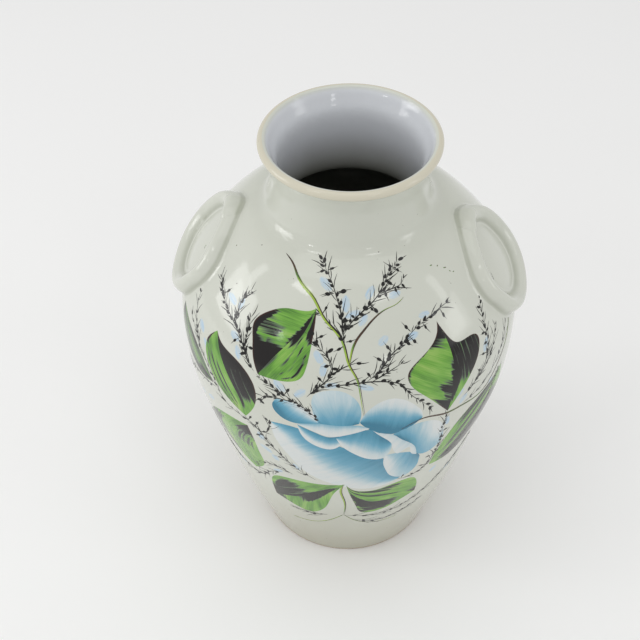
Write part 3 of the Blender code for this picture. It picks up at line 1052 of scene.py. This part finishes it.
# Each twig: its root-to-tip line as (angle, down), how dark it is, and how many side hairs it has
TWIGS = (
    (((3, 42), (2, 33), (1, 26), (-1.5, 18), (-4, 12), (-8, 6), (-12, 1)), 1.0, 16),
    (((2, 38), (6, 30), (12, 24), (18, 18), (23, 11.5), (28, 7.5), (34, 4)), 1.0, 20),
    (((18, 18.5), (24, 17), (29, 16), (32, 13)), 0.9, 6),
    (((3, 42), (0.5, 36), (-3, 32), (-7, 28), (-10, 27)), 0.8, 7),
    (((10, 61), (16, 54), (19, 49), (25, 43.5), (29, 39.5), (34, 37), (38, 35)), 0.75, 18),
    (((34, 37), (39, 35.5), (45, 34), (49, 34)), 0.5, 3),
    (((-6, 64), (4, 62), (12, 61), (18, 62.5), (21.5, 65), (23.5, 70), (28, 79), (33, 89)), 0.95, 16),
    (((12, 61), (19, 56), (24, 53)), 1.0, 6),
    (((44, 92), (48, 88), (54, 80), (57, 70), (58, 60), (59, 52), (62, 43)), 0.9, 18),
    (((48, 88), (53, 83), (58, 76), (61, 68), (64, 60)), 0.8, 8),
    (((-27, 67), (-31, 61), (-35, 54), (-41, 48), (-47, 44), (-52, 40), (-59, 34)), 0.95, 28),
    (((-33, 58), (-33.5, 52), (-34, 46), (-35, 40)), 0.9, 9),
    (((-40, 48), (-41, 41), (-41.5, 35), (-39, 29)), 0.8, 10),
    (((-6, 151), (-12, 143), (-19, 128), (-24, 116), (-31, 105), (-38, 104), (-45, 92), (-51, 80), (-57, 71),
      (-66, 64)), 0.9, 30),
    (((-30, 106), (-25, 110), (-22, 104), (-22, 97)), 0.95, 8),
    (((-4, 89), (-8, 81), (-13, 76), (-20, 71), (-27, 67)), 1.0, 16),
    (((-12, 76), (-17, 77), (-22, 78), (-25, 84)), 1.0, 9),
    (((-9, 72), (-6, 66), (-1, 56), (-3, 48), (-7, 43), (-10, 37)), 1.0, 16),
    (((-1, 57), (3, 53), (9, 50)), 1.0, 4),
    (((22, 152), (29, 154), (34, 150), (37, 138), (38, 122), (37.5, 108), (39, 96)), 0.95, 24),
    (((40, 152), (48, 140), (56, 124), (62, 108), (66, 94)), 0.85, 22),
    (((44, 97), (52, 95), (60, 89), (66, 79), (70, 67), (72, 55), (73, 46)), 0.6, 16),
    (((3, 196), (14, 198), (27, 196), (40, 186), (52, 170), (62, 150)), 0.85, 26),
    (((8, 203), (18, 208), (30, 205), (42, 196)), 0.7, 14),
    (((-4, 197), (-12, 199), (-22, 199)), 0.85, 8),
    (((-20, 150), (-28, 160), (-36, 172), (-46, 170), (-54, 156), (-60, 140)), 0.7, 22),
    (((-16, 150), (-22, 146), (-30, 150), (-34, 160)), 0.8, 12),
    (((-44, 96), (-52, 100), (-60, 104), (-67, 112), (-72, 122)), 0.5, 12),
    (((-52, 82), (-56, 70), (-60, 60), (-63, 50)), 0.7, 8),
    (((180, 112), (172, 106), (164, 96), (158, 84)), 0.9, 12),
    (((186, 60), (180, 50), (173, 42), (166, 36)), 0.9, 12),
    (((184, 128), (176, 136), (166, 140)), 0.7, 8),
)

# How buds, hairs and dabs are strewn, with ranges in degrees and millimetres
HAIRS_SHARE = 1.15
BUD_CHANCE = 0.55
BUD_REACH = 4.0
TWIG_POINTS = 80
TWIG_MARGIN = 4
TWIG_SEARCH_POINTS = 60
BUD_SIZE = (1.5, 2.1)
HAIR_TURN = (16, 38)
HAIR_LENGTH = (4.0, 11.5)
HAIR_WIDTH = (0.6, 0.95)
DAB_HALF_LENGTH = (3.6, 5.2)
DAB_WIDTH = (4.6, 6.2)

# Where buds sit, each as (angle, down)
BUDS = (
    (-53, 39), (-51, 41), (-49, 36), (-41, 34), (-46, 45), (-40, 44), (-40, 49), (-34, 47), (-30, 55),
    (-39, 59), (-33, 60), (-12, 1), (-10, 7), (-5, 5), (-9, 19), (-5, 18), (-5, 24), (-3, 14), (2, 16),
    (3, 30), (4, 35), (5, 40), (-2, 45), (1, 44), (-5, 38), (-7, 43), (-3, 53), (0, 54), (-5, 60), (-7, 69),
    (6, 14), (18, 17), (21, 19), (27, 6), (34, 5), (30, 9), (24, 14), (30, 17), (26, 18), (14, 25), (17, 28),
    (6, 28), (26, 45), (29, 46), (34, 40), (43, 40), (39, 36), (26, 36), (18, 44), (14, 49), (18, 52),
    (11, 57), (14, 57), (18, 63), (21, 65), (23, 70), (31, 86), (62, 44), (59, 47), (59, 53), (56, 60),
    (56, 66), (59, 75), (54, 71), (52, 80), (47, 88), (-22, 70), (-18, 74), (-15, 70), (-12, 76), (-20, 78),
    (-24, 84), (-28, 98), (-26, 102), (-22, 106), (-27, 115), (-24, 122), (-20, 131), (-16, 137), (-10, 145),
    (38, 100), (37, 106), (39, 112), (38, 118), (33, 145), (30, 152), (36, 148), (26, 150), (30, 135),
)

# Where the pale-blue dabs lie, each as (angle, down)
DABS = (
    (-46, 39), (-41, 38), (-38, 54), (-35, 61), (-54, 64), (-50, 71), (-7, 13), (3, 22), (6, 27), (-6, 49),
    (-4, 55), (-1, 63), (-18, 69), (-11, 70), (-50, 113), (-57, 119), (14, 17), (25, 20), (10, 30), (17, 41),
    (28, 42), (35, 34), (56, 67), (45, 93), (10, 64), (-26, 115), (-25, 127), (-22, 134), (-23, 152),
    (-14, 137), (39, 104), (41, 160), (52, 172), (43, 87), (50, 110), (60, 100), (-46, 172), (158, 90),
    (168, 108), (176, 46),
)


def nearest_twig_place(place):
    """The gap to the nearest point on any twig's line, that point, the twig's tone and its run."""
    best = None
    for path, dark, _ in TWIGS:
        line = spline(path, TWIG_SEARCH_POINTS)
        gaps = (line - place) * [mm_per_degree(place[1]), 1.0]
        distance = np.linalg.norm(gaps, axis=1)
        i = int(np.argmin(distance))
        if best is None or distance[i] < best[0]:
            ahead = line[min(i + 3, len(line) - 1)] - line[max(i - 3, 0)]
            best = (distance[i], line[i], dark, ahead)
    return best


def bud(build, place, direction, dark, chance):
    """A small dark drop; its callers draw the fine hair through it."""
    size = chance.uniform(*BUD_SIZE)
    half = direction * size * chance.uniform(0.55, 0.85)
    stroke(build, [moved(place, -half), moved(place, half)], size, (dark, dark), 0.16, rounded=True)


def hair(build, place, direction, length, dark, chance):
    bend = chance.uniform(-18, 18)
    middle = moved(place, direction * length * 0.5)
    end = moved(middle, turned_by(direction, bend) * length * 0.5)
    width = chance.uniform(*HAIR_WIDTH)
    stroke(build, [place, middle, end], width, (dark, dark, dark * 0.55), 0.08, stations=7, lean=0.15)


def twig_strokes(build, path, dark, hairs, chance):
    line = spline(path, TWIG_POINTS)
    inner = TWIG_POINTS - 2 * TWIG_MARGIN
    stroke(build, path, 1.15, (dark, dark, dark * 0.85), 0.10, stations=30)
    hairs = int(hairs * HAIRS_SHARE)
    for k in range(hairs):
        share = (k + chance.uniform(0.2, 0.8)) / hairs
        i = min(int(TWIG_MARGIN + share * inner), TWIG_MARGIN + inner - 1)
        here = line[i]
        ahead = (line[i + 3] - line[i - 3]) * [mm_per_degree(here[1]), 1.0]
        ahead = ahead / np.linalg.norm(ahead)
        turn = chance.uniform(*HAIR_TURN) * (1 if k % 2 else -1)
        length = chance.uniform(*HAIR_LENGTH) * (1.1 - 0.3 * share)
        aside = turned_by(ahead, turn)
        hair(build, here, aside, length, dark, chance)
        if chance.random() < BUD_CHANCE:
            bud(build, moved(here, aside * chance.uniform(1.2, 2.2)), aside, dark, chance)
        if chance.random() < BUD_CHANCE:
            aside = turned_by(ahead, -turn * 0.8)
            short = [here, moved(here, aside * chance.uniform(2.0, 3.6))]
            stroke(build, short, chance.uniform(0.9, 1.3), (dark, dark * 0.8), 0.09, stations=6, lean=0.2)


def make_twigs(material):
    chance = random.Random(SEED)
    for number, (path, dark, hairs) in enumerate(TWIGS, 1):
        build = Build()
        twig_strokes(build, path, dark, hairs, chance)
        build.piece(f"painted_twig_{number:02d}", material)


def make_buds(material):
    chance = random.Random(SEED + 1)
    build = Build()
    for place in BUDS:
        place = np.array(place, float)
        gap, root, dark, ahead = nearest_twig_place(place)
        scale = np.array([mm_per_degree(place[1]), 1.0])
        reach = (place - root) * scale
        if gap < 1.2:
            reach = turned_by(ahead * scale, chance.uniform(-40, 40))
        direction = reach / max(np.linalg.norm(reach), 1e-6)
        place = moved(root, direction * min(max(gap, 1.0), BUD_REACH))
        bud(build, place, direction, dark, chance)
        tip = moved(place, turned_by(direction, chance.uniform(-12, 12)) * chance.uniform(2.0, 5.0))
        stroke(build, [root, place, tip], 0.9, (dark, dark, dark * 0.6), 0.08, stations=7)
    build.piece("painted_buds", material)


# Iron spots burnt through the glaze, each as (angle, down, length, tilt)
SPECKS = (
    (-62, 19, 0.8, 0),
    (48, 14, 1.6, 10),
    (51, 16, 1.0, -30),
    (54, 19, 2.0, 20),
    (55.5, 22, 1.2, 60),
    (57, 23.5, 1.0, 0),
    (-79, 40, 2.4, 50),
    (120, 60, 0.9, 0),
    (-140, 95, 1.1, 30),
    (28, 232, 0.9, 0),
)


def make_specks(material):
    build = Build()
    for angle, down, length, tilt in SPECKS:
        place = np.array([angle, down], float)
        half = turned_by(np.array([0.5, 0.0]), tilt) * length
        stroke(build, [moved(place, -half), moved(place, half)], 0.7, (0.4, 0.8), 0.04, rounded=True)
    build.piece("kiln_specks", material)


def make_dabs(material):
    chance = random.Random(SEED + 2)
    build = Build()
    for place in DABS:
        place = np.array(place, float)
        ahead = nearest_twig_place(place)[3] * [mm_per_degree(place[1]), 1.0]
        direction = turned_by(ahead / np.linalg.norm(ahead), chance.uniform(-25, 25))
        half = direction * chance.uniform(*DAB_HALF_LENGTH)
        ends = [moved(place, -half), moved(place, half)]
        width = chance.uniform(*DAB_WIDTH)
        stroke(build, ends, width, (1.0, 1.0), 0.03, rounded=True, soft=True, stations=11)
    build.piece("pale_blue_dabs", material)


# -------- studio

CAMERA_PLACE = (0.0334, -0.4728, 0.6372)
CAMERA_HEADING = 5.96
CAMERA_PITCH = 45.70
CAMERA_ROLL = -0.66
CAMERA_LENS = 67.5
CAMERA_SENSOR = 36.0
TARGET = (0.0, 0.0, 0.20)

# Soft lights: name, angle from the front, elevation, distance, width, height, radiance
WINDOWS = (
    ("front_left_window", -42, 46, 1.4, 0.32, 0.15, 4.4),
    ("front_right_window", 36, 45, 1.4, 0.32, 0.15, 3.6),
    ("left_window", -80, 30, 1.5, 0.14, 0.40, 2.2),
    ("right_window", 80, 28, 1.5, 0.14, 0.40, 1.8),
    ("front_left_lamp", -42, 21, 1.5, 0.12, 0.07, 10.0),
    ("front_right_lamp", 28, 17, 1.5, 0.14, 0.07, 5.0),
    ("left_glow", -80, 13, 1.6, 0.34, 0.30, 2.0),
    ("left_wide_glow", -80, 13, 1.7, 0.80, 0.60, 2.8),
    ("right_glow", 78, 11, 1.6, 0.34, 0.30, 1.5),
    ("right_wide_glow", 78, 11, 1.7, 0.60, 0.50, 1.0),
    ("ceiling", -10, 84, 1.6, 1.60, 1.20, 0.8),
)
WORLD_STRENGTH = 0.66
FLOOR_HALF_SIZE = 6.0
FLOOR_LIGHT = (0.97, 0.97, 0.965)
FLOOR_SHADE = (0.95, 0.95, 0.942)


def make_camera():
    data = bpy.data.cameras.new("camera")
    data.lens = CAMERA_LENS
    data.sensor_width = CAMERA_SENSOR
    data.clip_start = 0.01
    camera = bpy.data.objects.new("camera", data)
    bpy.context.scene.collection.objects.link(camera)
    heading = Matrix.Rotation(math.radians(CAMERA_HEADING), 4, "Z")
    pitch = Matrix.Rotation(math.radians(90 - CAMERA_PITCH), 4, "X")
    roll = Matrix.Rotation(math.radians(CAMERA_ROLL), 4, "Z")
    camera.matrix_world = Matrix.Translation(CAMERA_PLACE) @ heading @ pitch @ roll
    bpy.context.scene.camera = camera


def make_window(name, angle, elevation, distance, width, height, radiance):
    data = bpy.data.lights.new(name, "AREA")
    data.shape = "RECTANGLE"
    data.size = width
    data.size_y = height
    data.energy = radiance * math.pi * width * height
    light = bpy.data.objects.new(name, data)
    bpy.context.scene.collection.objects.link(light)
    turn, rise = math.radians(angle), math.radians(elevation)
    away = Vector((math.sin(turn) * math.cos(rise), -math.cos(turn) * math.cos(rise), math.sin(rise)))
    light.location = Vector(TARGET) + away * distance
    light.rotation_mode = "QUATERNION"
    light.rotation_quaternion = away.to_track_quat("Z", "Y")
    light.visible_camera = False


def make_world():
    world = bpy.data.worlds.new("studio")
    world.use_nodes = True
    background = world.node_tree.nodes["Background"]
    background.inputs["Color"].default_value = (1.0, 1.0, 1.0, 1.0)
    background.inputs["Strength"].default_value = WORLD_STRENGTH
    bpy.context.scene.world = world


def make_floor():
    mesh = bpy.data.meshes.new("floor")
    size = FLOOR_HALF_SIZE
    corners = [(-size, -size, 0), (size, -size, 0), (size, size, 0), (-size, size, 0)]
    mesh.from_pydata(corners, [], [(0, 1, 2, 3)])
    floor = bpy.data.objects.new("floor", mesh)
    bpy.context.scene.collection.objects.link(floor)
    shader = Shader("paper_floor")
    cloud = shader.noise(3.0, 3.0)
    base = shader.blend(cloud, FLOOR_LIGHT, FLOOR_SHADE)
    mesh.materials.append(shader.finish(base, 0.9, None))


def main():
    bpy.context.scene.view_settings.view_transform = "Standard"
    glaze = glaze_material("celadon_white_glaze")
    make_body(glaze)
    make_neck(glaze)
    make_foot(foot_material())
    make_handle("right", 1, glaze)
    make_handle("left", -1, glaze)
    make_dabs(dab_material())
    make_petals(petal_material())
    make_leaves(leaf_material())
    stem_paint = stem_material()
    make_stems(stem_paint)
    make_specks(stem_paint)
    twig_paint = twig_material()
    make_twigs(twig_paint)
    make_buds(twig_paint)
    make_floor()
    make_world()
    for window in WINDOWS:
        make_window(*window)
    make_camera()


main()
